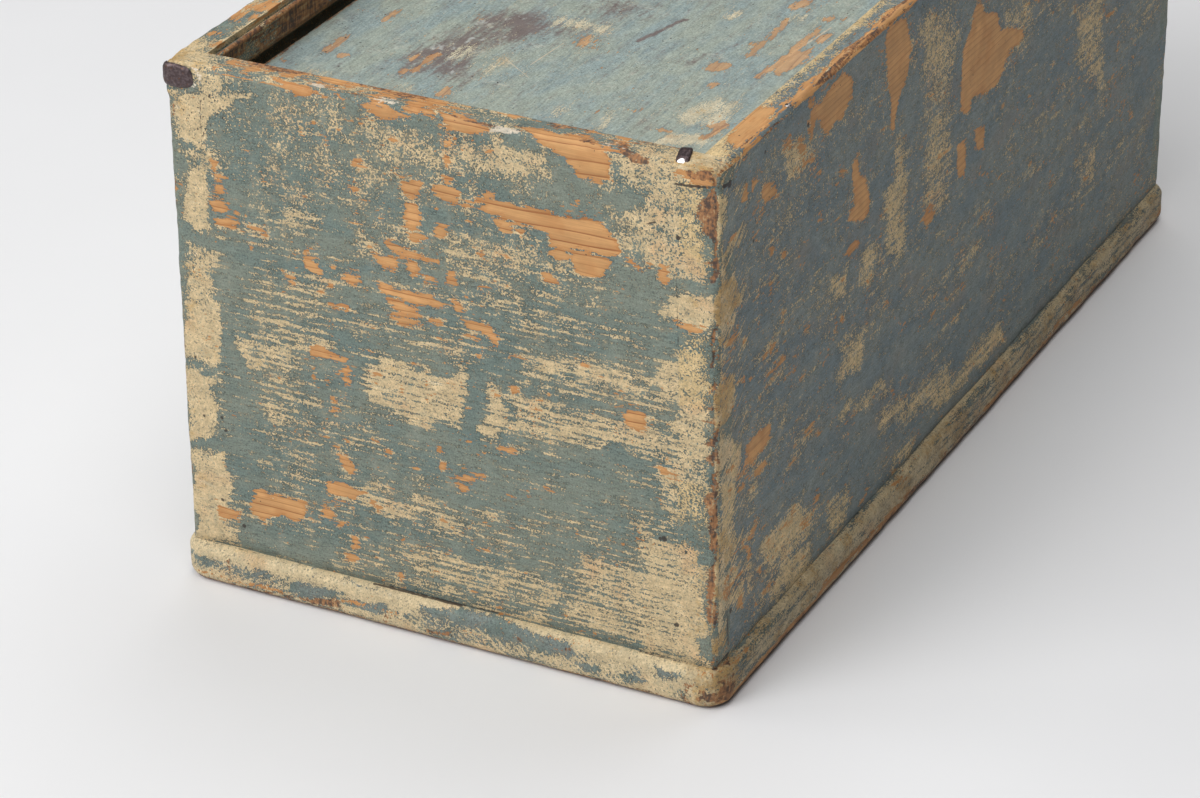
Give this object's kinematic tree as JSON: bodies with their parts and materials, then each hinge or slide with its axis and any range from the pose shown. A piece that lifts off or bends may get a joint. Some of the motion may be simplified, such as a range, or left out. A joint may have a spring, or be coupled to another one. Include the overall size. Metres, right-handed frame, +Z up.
{
  "type": "spice box",
  "caption": "Long dovetailed pine box on a proud base board, with a sliding lid in grooves below a moulded rim and half-lapped dividers inside.",
  "frame": {"origin": "middle of the underside of the base board, on the surface that the box stands on", "axes": "+X across the box to its right side, +Y along the box from its closed front end to the back end where the lid slides out, +Z up"},
  "size_m": [0.186, 0.383, 0.1757],
  "materials": {
    "wall_paint": "worn blue-green paint over a cream ground on pine, matt",
    "lid_paint": "worn light blue-green paint on pine, silky where hands have rubbed it",
    "base_paint": "worn cream and blue-green paint on pine, matt",
    "bare_pine": "bare pine darkened with age",
    "forged_iron": "dark brown-black forged iron",
    "rubbed_iron": "iron rubbed bright by hands"
  },
  "bodies": {
    "box": {"base_board": "base_paint", "front_board": "wall_paint", "back_board": "wall_paint", "left_side": "wall_paint", "right_side": "wall_paint", "long_divider": "bare_pine", "cross_divider_front": "bare_pine", "cross_divider_middle": "bare_pine", "cross_divider_back": "bare_pine", "base_nails": "forged_iron", "front_corner_nail": "forged_iron", "top_corner_nail": "forged_iron", "rim_nail": "rubbed_iron"},
    "lid": {"sliding_lid": "lid_paint"}
  },
  "joints": [
    {"name": "lid_slide", "type": "slide", "parent": "box", "child": "lid", "axis": [0, 1, 0], "range_m": [0, 0.385]}
  ]
}
